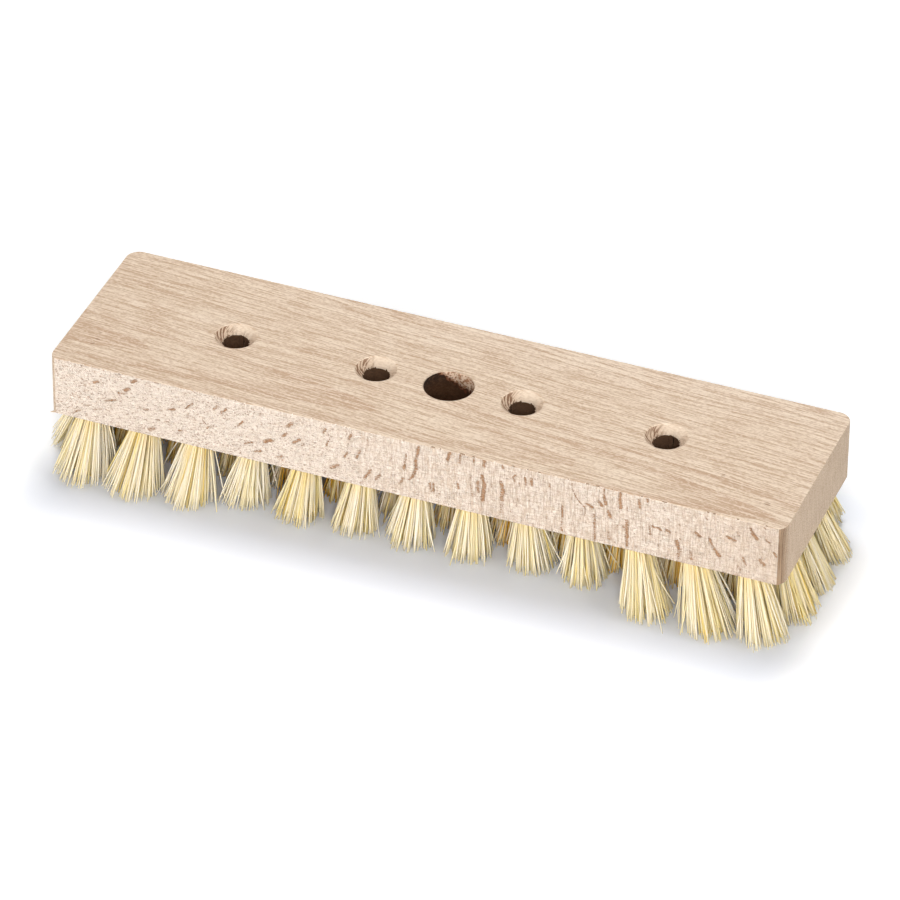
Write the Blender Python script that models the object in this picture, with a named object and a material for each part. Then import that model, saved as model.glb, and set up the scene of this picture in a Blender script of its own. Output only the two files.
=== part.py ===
"""Floor scrub brush: a beech block with drilled fixing holes and rows of stiff plant-fibre tufts.

Metres, +Z up. The origin is the middle of the footprint, on the floor that the tufts stand on.
The block is one piece of wood. Each tuft is a bundle of fibre, folded and driven into a blind
hole in the underside, and is a piece of its own: a root that fills its hole, and strands that
fan out below it and end flat on the floor.
"""

import math

import bmesh
import bpy
from mathutils import Vector

# Block
BLOCK_LENGTH = 0.300
BLOCK_WIDTH = 0.080
BLOCK_THICKNESS = 0.026
CORNER_RADIUS = 0.0055
FRONT_SAWN_OFF = 0.0009
EDGE_SOFTENING = 0.0005
CORNER_STEPS = 6

# Drilled holes in the middle line of the block
HANDLE_HOLE_DIAMETER = 0.0196
SCREW_HOLE_DIAMETER = 0.0104
COUNTERSINK_DIAMETER = 0.0166
COUNTERSINK_DEPTH = 0.0031
INNER_SCREW_SPACING = 0.060
OUTER_SCREW_SPACING = 0.177
DRILL_SIDES = 32
CUT_OVERRUN = 0.002

# Fibre holes and the rows that they stand in
FIBRE_HOLE_DIAMETER = 0.009
FIBRE_HOLE_DEPTH = 0.013
SIDE_MARGIN = 0.008
LONG_ROW_END_MARGIN = 0.0155
SHORT_ROW_END_MARGIN = 0.010
LONG_ROW_TUFTS = 13

# Tufts
FREE_LENGTH = 0.027
ROOT_CLEARANCE = 0.0003
ROOT_STAND_OUT = 0.001
STRANDS_PER_TUFT = 8
STRAND_GAP = 0.0003
CROWN_RADIUS = 0.0095
INNER_CROWN_RADIUS = 0.0049
CROWN_UNEVENNESS = 0.0008
TIP_SIZE_SHARE = 0.8

# How far the tips of a tuft stand out from under its root, along the block and to its side.
LEAN_ALONG = 0.012
LEAN_ASIDE = 0.009
END_LEAN_ALONG = 0.009
END_LEAN_ASIDE = 0.004
INNER_ROW_LEAN_ALONG = -0.0025
INNER_ROW_LEAN_ASIDE = 0.002

# The front row from left to right. The back row is the front row turned half round.
LONG_ROW_ALONG_SHARES = (-0.2, -0.25, -0.25, -0.4, -0.35, -0.3, -0.25, -0.15, 0.05, 0.0, 0.55, 0.85, 0.65)
LONG_ROW_ASIDE_SHARES = (-0.75, -0.9, -0.65, 0.2, 0.0, 0.1, 0.1, 0.2, 0.45, 0.4, -0.9, -1.0, -0.6)

# How wide the crown of tips is, as a share of the widest one. The tufts near the ends splay most.
LONG_ROW_CROWN_SHARES = (1.0, 1.0, 0.95, 0.85, 0.85, 0.8, 0.8, 0.8, 0.8, 0.8, 0.9, 0.9, 0.9)
OTHER_CROWN_SHARE = 0.8

UNDERSIDE_Z = FREE_LENGTH
ROOT_RADIUS = FIBRE_HOLE_DIAMETER / 2 - ROOT_CLEARANCE / math.cos(math.pi / STRANDS_PER_TUFT)
ROOT_HEIGHT = FIBRE_HOLE_DEPTH - ROOT_CLEARANCE
OUTER_ROW_Y = BLOCK_WIDTH / 2 - SIDE_MARGIN
LONG_ROW_END_X = BLOCK_LENGTH / 2 - LONG_ROW_END_MARGIN
SHORT_ROW_END_X = BLOCK_LENGTH / 2 - SHORT_ROW_END_MARGIN
TUFT_PITCH = 2 * LONG_ROW_END_X / (LONG_ROW_TUFTS - 1)

BEECH_COLOR = (0.71, 0.55, 0.41)
FIBRE_COLOR = (0.73, 0.62, 0.38)
GOLDEN_ANGLE = math.pi * (3 - math.sqrt(5))


def clear_scene():
    for item in list(bpy.data.objects):
        bpy.data.objects.remove(item, do_unlink=True)


def make_material(name, color, roughness, metallic=0.0):
    material = bpy.data.materials.new(name)
    material.use_nodes = True
    shader = material.node_tree.nodes["Principled BSDF"]
    shader.inputs["Base Color"].default_value = (*color, 1.0)
    shader.inputs["Roughness"].default_value = roughness
    shader.inputs["Metallic"].default_value = metallic
    return material


def place(name, bm, location, parent, material=None):
    mesh = bpy.data.meshes.new(name)
    bmesh.ops.recalc_face_normals(bm, faces=bm.faces)
    bm.to_mesh(mesh)
    bm.free()
    item = bpy.data.objects.new(name, mesh)
    item.location = location
    item.parent = parent
    bpy.context.collection.objects.link(item)
    if material is not None:
        mesh.materials.append(material)
    return item


def corner_arc(side_x, side_y, sawn_off):
    """A rounded corner, from the end of the board to its long side, which may cut it short."""
    middle_x = side_x * (BLOCK_LENGTH / 2 - CORNER_RADIUS)
    middle_y = side_y * (BLOCK_WIDTH / 2 + sawn_off - CORNER_RADIUS)
    sweep = math.asin(1 - sawn_off / CORNER_RADIUS)
    points = []
    for step in range(CORNER_STEPS + 1):
        angle = sweep * step / CORNER_STEPS
        x = middle_x + side_x * CORNER_RADIUS * math.cos(angle)
        y = middle_y + side_y * CORNER_RADIUS * math.sin(angle)
        points.append((x, y))
    return points


def board_outline():
    """The board from above. Its front was sawn last, so it meets the round corners at an edge."""
    rear_right = corner_arc(1, 1, 0)
    rear_left = corner_arc(-1, 1, 0)
    front_left = corner_arc(-1, -1, FRONT_SAWN_OFF)
    front_right = corner_arc(1, -1, FRONT_SAWN_OFF)
    return rear_right + rear_left[::-1] + front_left + front_right[::-1]


def block_blank(bm):
    """The solid board, with its upper and lower rims a little softened."""
    floor = bm.faces.new([bm.verts.new((x, y, 0)) for x, y in board_outline()])
    raised = bmesh.ops.extrude_face_region(bm, geom=[floor])
    lifted = [part for part in raised["geom"] if isinstance(part, bmesh.types.BMVert)]
    bmesh.ops.translate(bm, verts=lifted, vec=(0, 0, BLOCK_THICKNESS))
    rims = [edge for edge in bm.edges if edge.verts[0].co.z == edge.verts[1].co.z]
    bmesh.ops.bevel(bm, geom=rims, offset=EDGE_SOFTENING, segments=1, affect="EDGES")


def screw_positions():
    """Places along the middle line, from left to right."""
    outer = OUTER_SCREW_SPACING / 2
    inner = INNER_SCREW_SPACING / 2
    return (-outer, -inner, inner, outer)


def ring_points(radius, z, sides):
    """Points of a regular polygon about the upright axis, with a flat side towards +X."""
    turn = 2 * math.pi / sides
    angles = [turn * (side + 1 / 2) for side in range(sides)]
    return [(radius * math.cos(angle), radius * math.sin(angle), z) for angle in angles]


def turned(bm, x, y, profile, sides):
    """A solid turned about an upright axis from (radius, z) points, given from the bottom up."""
    rings = []
    for radius, z in profile:
        points = ring_points(radius, z, sides)
        rings.append([bm.verts.new((x + across, y + aside, up)) for across, aside, up in points])
    for lower, upper in zip(rings, rings[1:]):
        for side in range(sides):
            other = (side + 1) % sides
            bm.faces.new((lower[side], lower[other], upper[other], upper[side]))
    bm.faces.new(reversed(rings[0]))
    bm.faces.new(rings[-1])


def handle_drill(bm):
    """The straight hole in the middle, right through the board."""
    radius = HANDLE_HOLE_DIAMETER / 2
    profile = ((radius, -CUT_OVERRUN), (radius, BLOCK_THICKNESS + CUT_OVERRUN))
    turned(bm, 0, 0, profile, DRILL_SIDES)


def screw_drill(bm, x):
    """A screw hole with its cone, which goes on widening above the board."""
    slope = (COUNTERSINK_DIAMETER - SCREW_HOLE_DIAMETER) / 2 / COUNTERSINK_DEPTH
    profile = (
        (SCREW_HOLE_DIAMETER / 2, -CUT_OVERRUN),
        (SCREW_HOLE_DIAMETER / 2, BLOCK_THICKNESS - COUNTERSINK_DEPTH),
        (COUNTERSINK_DIAMETER / 2 + slope * CUT_OVERRUN, BLOCK_THICKNESS + CUT_OVERRUN),
    )
    turned(bm, x, 0, profile, DRILL_SIDES)


def fibre_drill(bm, x, y):
    """A blind hole from below. It has as many sides as the tuft's root that goes in it."""
    radius = FIBRE_HOLE_DIAMETER / 2
    profile = ((radius, -CUT_OVERRUN), (radius, FIBRE_HOLE_DEPTH))
    turned(bm, x, y, profile, STRANDS_PER_TUFT)


def cut(item, name, bm):
    """Take a set of cutters out of a piece."""
    cutter = place(name, bm, item.location, item.parent)
    cutter.hide_render = True
    cutter.display_type = "WIRE"
    boolean = item.modifiers.new(name, "BOOLEAN")
    boolean.operation = "DIFFERENCE"
    boolean.solver = "EXACT"
    boolean.object = cutter


def long_row(side):
    """An outer row as (x, y, lean along, lean aside, crown). The back row is the front one turned."""
    tufts = []
    for column in range(LONG_ROW_TUFTS):
        x = column * TUFT_PITCH - LONG_ROW_END_X
        along = LEAN_ALONG * LONG_ROW_ALONG_SHARES[column]
        aside = LEAN_ASIDE * LONG_ROW_ASIDE_SHARES[column]
        crown = LONG_ROW_CROWN_SHARES[column]
        tufts.append((x * side, -OUTER_ROW_Y * side, along * side, aside * side, crown))
    return tufts


def short_row(side):
    """A row half a pitch out of step with the outer ones, with one more tuft at each end."""
    y = -OUTER_ROW_Y / 2
    tufts = []
    for column in range(LONG_ROW_TUFTS - 1):
        x = (column + 1 / 2) * TUFT_PITCH - LONG_ROW_END_X
        tufts.append((x, y, INNER_ROW_LEAN_ALONG, INNER_ROW_LEAN_ASIDE))
    tufts.insert(0, (-SHORT_ROW_END_X, y, -END_LEAN_ALONG, -END_LEAN_ASIDE))
    tufts.append((SHORT_ROW_END_X, y, END_LEAN_ALONG, -END_LEAN_ASIDE))
    row = []
    for x, y, along, aside in tufts:
        row.append((x * side, y * side, along * side, aside * side, OTHER_CROWN_SHARE))
    return row


def middle_row():
    """Two tufts at each end: the drilled holes take up the rest of the middle line."""
    half_x = (SHORT_ROW_END_X + OUTER_SCREW_SPACING / 2) / 2
    tufts = []
    for side in (-1, 1):
        tufts.append((side * SHORT_ROW_END_X, 0, side * END_LEAN_ALONG, 0, OTHER_CROWN_SHARE))
        tufts.append((side * half_x, 0, side * END_LEAN_ALONG / 2, 0, OTHER_CROWN_SHARE))
    return tufts


def tuft_rows():
    return {
        "front": long_row(1),
        "second": short_row(1),
        "middle": middle_row(),
        "fourth": short_row(-1),
        "back": long_row(-1),
    }


def root_plug(bm):
    """The folded bundle in its hole. Its lower face is split into one wedge for each strand."""
    sides = STRANDS_PER_TUFT
    upper = [bm.verts.new(point) for point in ring_points(ROOT_RADIUS, ROOT_HEIGHT, sides)]
    lower = [bm.verts.new(point) for point in ring_points(ROOT_RADIUS, -ROOT_STAND_OUT, sides)]
    middle = bm.verts.new((0, 0, -ROOT_STAND_OUT))
    bm.faces.new(upper)
    wedges = []
    for side in range(sides):
        other = (side + 1) % sides
        bm.faces.new((lower[side], lower[other], upper[other], upper[side]))
        wedges.append(bm.faces.new((middle, lower[other], lower[side])))
    return wedges


def strand_tip(number, strand, center, lean, crown):
    """Where a strand meets the floor. Every other strand ends in the inner ring of the crown."""
    radius = crown * (CROWN_RADIUS if strand % 2 == 0 else INNER_CROWN_RADIUS)
    radius += CROWN_UNEVENNESS * math.sin(GOLDEN_ANGLE * (number * STRANDS_PER_TUFT + strand))
    outward = Vector((center.x, center.y, 0)).normalized() * radius
    return Vector((lean[0] + outward.x, lean[1] + outward.y, -FREE_LENGTH))


def grow_strands(bm, wedges, number, lean, crown):
    """Draw each wedge down to the floor as a tapered strand with a flat end."""
    bm.normal_update()
    bmesh.ops.inset_individual(bm, faces=wedges, thickness=STRAND_GAP / 2, use_even_offset=True)
    for strand, wedge in enumerate(wedges):
        center = wedge.calc_center_median()
        tip = strand_tip(number, strand, center, lean, crown)
        ended = bmesh.ops.extrude_discrete_faces(bm, faces=[wedge])["faces"][0]
        for corner in ended.verts:
            spread = (corner.co - center) * TIP_SIZE_SHARE
            corner.co = (tip.x + spread.x, tip.y + spread.y, tip.z)


def make_tuft(name, number, spot, parent, material):
    x, y, along, aside, crown = spot
    bm = bmesh.new()
    wedges = root_plug(bm)
    grow_strands(bm, wedges, number, (along, aside), crown)
    return place(name, bm, (x, y, UNDERSIDE_Z), parent, material)


def make_block(rows, parent, material):
    bm = bmesh.new()
    block_blank(bm)
    block = place("beech_block", bm, (0, 0, UNDERSIDE_Z), parent, material)
    fixing = bmesh.new()
    handle_drill(fixing)
    for x in screw_positions():
        screw_drill(fixing, x)
    cut(block, "fixing_holes_cutter", fixing)
    blind = bmesh.new()
    for tufts in rows.values():
        for x, y, *_ in tufts:
            fibre_drill(blind, x, y)
    cut(block, "fibre_holes_cutter", blind)
    block.data.shade_smooth()
    block.data.set_sharp_from_angle(angle=math.radians(30))
    return block


def main():
    clear_scene()
    brush = bpy.data.objects.new("scrub_brush", None)
    bpy.context.collection.objects.link(brush)
    beech = make_material("beech", BEECH_COLOR, 0.62)
    fibre = make_material("plant_fibre", FIBRE_COLOR, 0.7)
    rows = tuft_rows()
    make_block(rows, brush, beech)
    number = 0
    for row, tufts in rows.items():
        for column, spot in enumerate(tufts, start=1):
            make_tuft(f"tuft_{row}_{column:02d}", number, spot, brush, fibre)
            number += 1
    print(f"{number} tufts with {number * STRANDS_PER_TUFT} strands")


main()
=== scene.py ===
# %% [markdown]
# # A floor scrub brush
# The brush is a drilled beech board with tufts of pale plant fibre set into its underside.
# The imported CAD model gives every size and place. This lesson dresses it: a finer board with
# planed, sawn and drilled wood, and tufts of single fibres in place of the thick CAD strands.
# Everything is in metres, with the floor at height zero and the board's length along X.

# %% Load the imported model
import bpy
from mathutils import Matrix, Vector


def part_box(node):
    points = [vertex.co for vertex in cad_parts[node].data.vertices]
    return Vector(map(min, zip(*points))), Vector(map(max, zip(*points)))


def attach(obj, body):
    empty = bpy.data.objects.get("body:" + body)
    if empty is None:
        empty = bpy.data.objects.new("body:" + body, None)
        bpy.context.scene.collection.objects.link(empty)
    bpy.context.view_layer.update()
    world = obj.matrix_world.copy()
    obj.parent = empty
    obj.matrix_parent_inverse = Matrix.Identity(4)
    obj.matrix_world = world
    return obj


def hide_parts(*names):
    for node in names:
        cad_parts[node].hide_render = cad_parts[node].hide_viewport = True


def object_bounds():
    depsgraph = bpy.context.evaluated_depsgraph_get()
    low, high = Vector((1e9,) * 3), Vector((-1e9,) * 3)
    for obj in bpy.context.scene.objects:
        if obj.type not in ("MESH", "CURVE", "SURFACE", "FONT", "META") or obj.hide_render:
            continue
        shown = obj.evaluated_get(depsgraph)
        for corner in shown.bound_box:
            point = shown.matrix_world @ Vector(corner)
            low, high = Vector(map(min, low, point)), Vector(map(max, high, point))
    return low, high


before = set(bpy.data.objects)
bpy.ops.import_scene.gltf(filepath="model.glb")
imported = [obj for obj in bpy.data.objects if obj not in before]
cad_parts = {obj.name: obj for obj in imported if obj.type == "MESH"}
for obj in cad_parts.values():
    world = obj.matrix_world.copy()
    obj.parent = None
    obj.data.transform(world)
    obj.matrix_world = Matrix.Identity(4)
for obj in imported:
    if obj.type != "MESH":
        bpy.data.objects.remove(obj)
cad_box = [list(corner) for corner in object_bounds()]
print("CAD box in metres:", cad_box)

# %% Bring in Blender and the number tools
import math

import bpy
import numpy as np
from mathutils import Matrix, Vector
from mathutils.noise import noise as cloud

MM = 0.001
board_low, board_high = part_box("beech_block")
UNDERSIDE, TOP = board_low[2], board_high[2]
HALF_LENGTH, HALF_WIDTH = board_high[0], board_high[1]
CORNER_RADIUS = 5.5 * MM
FRONT_SAWN_OFF = 0.9 * MM
FRONT_ARC_START = (HALF_WIDTH + FRONT_SAWN_OFF - CORNER_RADIUS) / MM
print("Board, underside to top:", round(UNDERSIDE, 4), round(TOP, 4))

# %% [markdown]
# ## Working as by hand
# An operator in Blender acts on whatever is selected. So each step first drops the old
# selection, and then picks edges or faces by where they are. These small helpers do that.

# %% Helpers that select and edit


def only(piece):
    """Leave edit mode and make one piece the only selected object."""
    if bpy.context.object and bpy.context.object.mode != "OBJECT":
        bpy.ops.object.mode_set(mode="OBJECT")
    bpy.ops.object.select_all(action="DESELECT")
    if piece:
        bpy.context.view_layer.objects.active = piece
        piece.select_set(True)


def settle(name):
    """Name the primitive that was just added, and move its place into its mesh."""
    piece = bpy.context.object
    piece.name = name
    piece.data.name = name
    bpy.ops.object.transform_apply(location=True, rotation=True, scale=True)
    return piece


def edit_edges(piece, wanted):
    """Open a piece in edit mode with only the wanted edges selected."""
    only(piece)
    bpy.ops.object.mode_set(mode="EDIT")
    bpy.ops.mesh.select_mode(type="EDGE")
    bpy.ops.mesh.select_all(action="DESELECT")
    bpy.ops.object.mode_set(mode="OBJECT")
    places = [vertex.co for vertex in piece.data.vertices]
    for edge in piece.data.edges:
        first, second = edge.vertices
        edge.select = wanted(places[first], places[second])
    bpy.ops.object.mode_set(mode="EDIT")


def close_edit():
    """Go back to object mode."""
    bpy.ops.object.mode_set(mode="OBJECT")


def join(pieces, name):
    """Make one object of several."""
    only(pieces[0])
    for piece in pieces:
        piece.select_set(True)
    bpy.ops.object.join()
    pieces[0].name = name
    return pieces[0]


def places_of(piece):
    """A piece's vertices as an array of places."""
    flat = np.empty(len(piece.data.vertices) * 3)
    piece.data.vertices.foreach_get("co", flat)
    return flat.reshape(-1, 3)


def keep(piece, name, values):
    """Store one number for each vertex, which a material can read by name."""
    made = piece.data.attributes.new(name, "FLOAT", "POINT")
    made.data.foreach_set("value", np.asarray(values, dtype=np.float32))


# %% [markdown]
# ## The camera
# The photograph was taken with a long lens from the right, looking down at about 36 degrees.
# The place and turn below were fitted to the board's corners, so that the render and the
# photograph can be laid over each other.

# %% Set the camera
CAMERA_PLACE = Vector((0.73199, -1.89683, 1.48878))
CAMERA_AZIMUTH = math.radians(21.083)
CAMERA_ELEVATION = math.radians(35.795)
CAMERA_ROLL = math.radians(0.588)
LENS = 260.1

only(None)
bpy.ops.object.camera_add()
camera = bpy.context.object
camera.name = "photo_camera"
camera.data.lens = LENS
camera.data.clip_end = 50.0
camera.matrix_world = (
    Matrix.Translation(CAMERA_PLACE)
    @ Matrix.Rotation(CAMERA_AZIMUTH, 4, "Z")
    @ Matrix.Rotation(math.pi / 2 - CAMERA_ELEVATION, 4, "X")
    @ Matrix.Rotation(CAMERA_ROLL, 4, "Z")
)
bpy.context.scene.camera = camera
bpy.context.scene.view_settings.view_transform = "Standard"
print("Camera at", [round(value, 3) for value in CAMERA_PLACE])

# %% [markdown]
# ## Light
# The photograph is a studio shot on white. A soft lamp above and behind throws the short
# shadow towards the viewer. Two low lamps at the front reach under the board, so the tufts
# are as bright as the wood. A lamp beside the camera lights what the camera sees in the gaps
# between the tufts, and one at the right lights the end. A pale world fills in the rest.

# %% Hang the lamps


def add_lamp(name, place, target, size, power):
    """Add a square soft lamp that faces a target. Its place and size are in metres."""
    only(None)
    bpy.ops.object.light_add(type="AREA", location=place)
    lamp = bpy.context.object
    lamp.name = name
    lamp.data.size = size
    lamp.data.energy = power
    aim = Vector(target) - Vector(place)
    lamp.rotation_euler = aim.to_track_quat("-Z", "Y").to_euler()
    print(name, "of", power, "watts")


add_lamp("overhead_lamp", (-0.16, 0.42, 1.35), (0, 0, 0), 0.6, 10.7)
add_lamp("front_left_lamp", (-1.15, -1.65, 0.3), (0, 0, 0.03), 0.9, 22.5)
add_lamp("front_right_lamp", (0.66, -1.98, 0.22), (0, 0, 0.03), 0.9, 24.0)
add_lamp("right_lamp", (1.45, -0.2, 0.7), (0.1, 0, 0.03), 0.7, 6.5)
add_lamp("viewer_lamp", (0.62, -1.55, 1.18), (0, 0, 0.02), 0.7, 16.0)

# %% [markdown]
# ## Shader arithmetic
# A pattern is easier to read as a formula than as a web of nodes. Wire wraps the output of a
# node, so that plus, minus, times and divide add Math nodes. Finish holds one material, and
# its node method makes every other kind of node.

# %% The Wire and Finish classes


class Wire:
    """The output of a shader node, used in sums like a number."""

    def __init__(self, finish, socket):
        self.finish = finish
        self.socket = socket

    def math(self, operation, first, second):
        return self.finish.node("Math", {"operation": operation}, {0: first, 1: second})

    def __add__(self, other):
        return self.math("ADD", self, other)

    def __radd__(self, other):
        return self.math("ADD", other, self)

    def __sub__(self, other):
        return self.math("SUBTRACT", self, other)

    def __rsub__(self, other):
        return self.math("SUBTRACT", other, self)

    def __mul__(self, other):
        return self.math("MULTIPLY", self, other)

    def __rmul__(self, other):
        return self.math("MULTIPLY", other, self)

    def __truediv__(self, other):
        return self.math("DIVIDE", self, other)

    def __neg__(self):
        return self.math("MULTIPLY", self, -1.0)

    def size(self):
        return self.math("ABSOLUTE", self, 0.0)

    def fraction(self):
        return self.math("FRACT", self, 0.0)

    def smooth(self, low, high):
        """0 below low, 1 above high, with a soft step between them."""
        values = {"Value": self, "From Min": low, "From Max": high}
        return self.finish.node("MapRange", {"interpolation_type": "SMOOTHSTEP"}, values)


class Finish:
    """One material, or the world, built from formulas."""

    def __init__(self, name, kind="Material"):
        self.kind = kind
        homes = bpy.data.worlds if kind == "World" else bpy.data.materials
        self.material = homes.new(name)
        self.material.use_nodes = True
        self.tree = self.material.node_tree
        self.tree.nodes.clear()

    def node(self, kind, settings=None, values=None, output=0):
        """Add a node. Its settings come first, and then the values or wires of its sockets."""
        made = self.tree.nodes.new("ShaderNode" + kind)
        for name, value in (settings or {}).items():
            setattr(made, name, value)
        for place, value in (values or {}).items():
            if isinstance(value, Wire):
                self.tree.links.new(value.socket, made.inputs[place])
            else:
                made.inputs[place].default_value = value
        return Wire(self, made.outputs[output])

    def millimetres(self):
        """The place on the piece in millimetres."""
        place = self.node("TexCoord", output="Object")
        return self.node("VectorMath", {"operation": "SCALE"}, {0: place, "Scale": 1000.0})

    def split(self, vector):
        """The three numbers of a vector."""
        return [self.node("SeparateXYZ", None, {0: vector}, axis) for axis in (0, 1, 2)]

    def joined(self, x, y, z):
        """A vector from three numbers."""
        return self.node("CombineXYZ", None, {0: x, 1: y, 2: z})

    def spots(self, place, size, detail=1.0, turn=(0, 0, 0), shift=(0, 0, 0)):
        """Soft random spots, each about size long along X, Y and Z."""
        scale = [1 / length for length in size]
        values = {"Vector": place, "Location": shift, "Rotation": turn, "Scale": scale}
        stretched = self.node("Mapping", {"vector_type": "POINT"}, values)
        values = {"Vector": stretched, "Scale": 1.0, "Detail": detail}
        return self.node("TexNoise", None, values)

    def attribute(self, name):
        """The number that a piece keeps under a name."""
        return self.node("Attribute", {"attribute_name": name}, output="Fac")

    def blend(self, factor, first, second):
        """From the first colour to the second."""
        return self.node("Mix", {"data_type": "RGBA"}, {0: factor, 6: first, 7: second}, 2)

    def close(self, colour, roughness, height, depth, through=0.0, through_colour=None):
        """End the material. Height is its relief, and through the share of light it lets past."""
        relief = {"Height": height, "Distance": depth}
        values = {
            "Base Color": colour,
            "Roughness": roughness,
            "Normal": self.node("Bump", None, relief, "Normal"),
            "Specular IOR Level": 0.3,
        }
        shader = self.node("BsdfPrincipled", None, values)
        if through:
            thin = self.node("BsdfTranslucent", None, {"Color": through_colour})
            shader = self.node("MixShader", None, {0: through, 1: shader, 2: thin})
        return self.end(shader)

    def seen(self):
        """1 for a ray that shows the background itself, also in a gloss, and 0 for light."""
        kinds = ("Is Camera Ray", "Is Glossy Ray", "Is Transmission Ray")
        camera, gloss, glass = [self.node("LightPath", output=kind) for kind in kinds]
        return (camera + gloss + glass).smooth(0, 1)

    def end(self, shader):
        """Send a shader to the surface, or to the world."""
        output = self.tree.nodes.new("ShaderNodeOutput" + self.kind)
        self.tree.links.new(shader.socket, output.inputs["Surface"])
        return self.material


def colour(red, green, blue):
    """A colour read off a screen, as the linear values that shaders take."""
    shares = [value / 255 for value in (red, green, blue)]
    linear = [s / 12.92 if s < 0.04045 else ((s + 0.055) / 1.055) ** 2.4 for s in shares]
    return (*linear, 1.0)


# %% [markdown]
# ## Planed beech
# The top is planed flat. The board was cut flat through the growth rings of the tree, so
# they show as nested tongues that point to the right, and as long lines beside them. Each
# tongue is nearly a parabola. So one number is worked out for every place, which is the same
# all along one parabola and rises by one from each ring to the next. Within a ring the wood
# slowly gets darker, and then it ends sharply. Hairlines and short pores lie along the grain.
# The left end is duller than the rest, the rear edge is paler, and a darker band runs along
# the front of the left half.

# %% The growth rings
# Lengths are in millimetres in the materials.
RING_STEP = 82.0
RING_START = 17.5
RING_SHAKE = 11
TONGUE_WIDTH = 1.4
TONGUE_OPENING = 45
LEFT_END_BACK = 15


def growth_rings(wood, place, x, aside):
    """How dark the growth rings are, by the distance along the board and from their axis."""
    shake = (wood.spots(place, (26, 2, 9), 2, shift=(9, 0, 0)) - 0.5) * RING_SHAKE
    wide = aside * aside / (aside.size() / TONGUE_OPENING + 1) / TONGUE_WIDTH
    back = (1 - x.smooth(-110, -50)) * LEFT_END_BACK
    ring = (x + wide + shake + back + RING_START) / RING_STEP
    share = ring.fraction()
    unlike = wood.spots(wood.joined(ring, 0.0, 0.0), (1.7, 1, 1), 0)
    strength = unlike.smooth(0.3, 0.65) * 0.6 + (1 - aside.size().smooth(9, 22)) * 0.6
    return share.smooth(0.35, 0.96) * (1 - share.smooth(0.965, 1.0)) * strength


# %% The planed face
GRAIN_LEAN = 0.085
GRAIN_SWAY = 5
RING_LEAN = 0.05
RING_AXIS_FORWARD = 26.5
RING_DARKNESS = 1.14
# Each speck is a small knot: its place on the board and its radius.
SPECKS = (
    (-137.9, -17.6, 1.3),
    (-137.2, -22.4, 1.5),
    (-137.8, -25.2, 1.4),
    (116.7, -15.6, 1.5),
    (138.2, -26.5, 2.1),
)


def speck(x, y, middle_x, middle_y, radius):
    """A round spot with a soft rim."""
    across, aside = x - middle_x, y - middle_y
    return 1 - (across * across + aside * aside).smooth(0.0, radius * radius)


def planed_beech():
    """The smooth top, underside and corners of the board."""
    wood = Finish("planed_beech")
    place = wood.millimetres()
    x, y, z = wood.split(place)
    sway = (wood.spots(place, (90, 22, 40), 1) - 0.5) * GRAIN_SWAY
    grain = wood.joined(x, y + x * GRAIN_LEAN + sway, z)
    aside = y + x * RING_LEAN + RING_AXIS_FORWARD + sway
    rings = growth_rings(wood, place, x, aside)
    cloudy = wood.spots(grain, (46, 9, 9), 1, shift=(4, 1, 0))
    threads = wood.spots(grain, (34, 0.8, 4), 1, shift=(2, 9, 0))
    hairs = wood.spots(grain, (14, 0.55, 3), 1, shift=(7, 2, 0))
    dashes = wood.spots(grain, (1.3, 0.6, 2), 1, shift=(5, 5, 0))
    pores = wood.spots(grain, (2.6, 0.32, 2), 1, shift=(1, 5, 0)).smooth(0.62, 0.72)
    specks = sum(speck(x, y, *spot) for spot in SPECKS) - hairs.smooth(0.4, 0.6) * 0.6
    pale, tan, brown = colour(236, 217, 196), colour(203, 176, 150), colour(184, 152, 124)
    left_end = (1 - x.smooth(-150, -105)) * 0.5
    cloudy = cloudy.smooth(0.4, 0.62) * 0.3 + left_end
    shade = wood.blend(cloudy, colour(225, 204, 180), colour(211, 187, 162))
    rear = y.smooth(12, 34) * x.smooth(-90, -50)
    shade = wood.blend(rear * 0.6, shade, colour(234, 216, 196))
    band = (1 - (y + 28).size().smooth(4, 14)) * (1 - (x + 82).size().smooth(25, 60))
    shade = wood.blend(band * 0.4, shade, colour(204, 177, 151))
    shade = wood.blend(rings * RING_DARKNESS, shade, colour(194, 163, 136))
    shade = wood.blend(threads.smooth(0.51, 0.6) * 0.78, shade, tan)
    shade = wood.blend(hairs.smooth(0.54, 0.6) * 0.62, shade, pale)
    shade = wood.blend((1 - hairs.smooth(0.39, 0.45)) * 0.68, shade, brown)
    shade = wood.blend(dashes.smooth(0.52, 0.66) * 0.4, shade, brown)
    shade = wood.blend((1 - dashes.smooth(0.34, 0.48)) * 0.4, shade, pale)
    shade = wood.blend(pores * 0.4, shade, brown)
    shade = wood.blend(specks.smooth(0.2, 0.8) * 0.7, shade, colour(150, 116, 90))
    return wood.close(shade, 0.56 + pores * 0.2, hairs - pores * 0.3, 0.0001)


# %% [markdown]
# ## Sawn beech
# The long sides come straight from the saw: paler, rough, and crossed by fine ribs. Beech
# shows its rays there as brown flecks. The flecks are dents in the mesh too, so the material
# reads them from the piece and only breaks up their edges.

# %% The sawn sides


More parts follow.
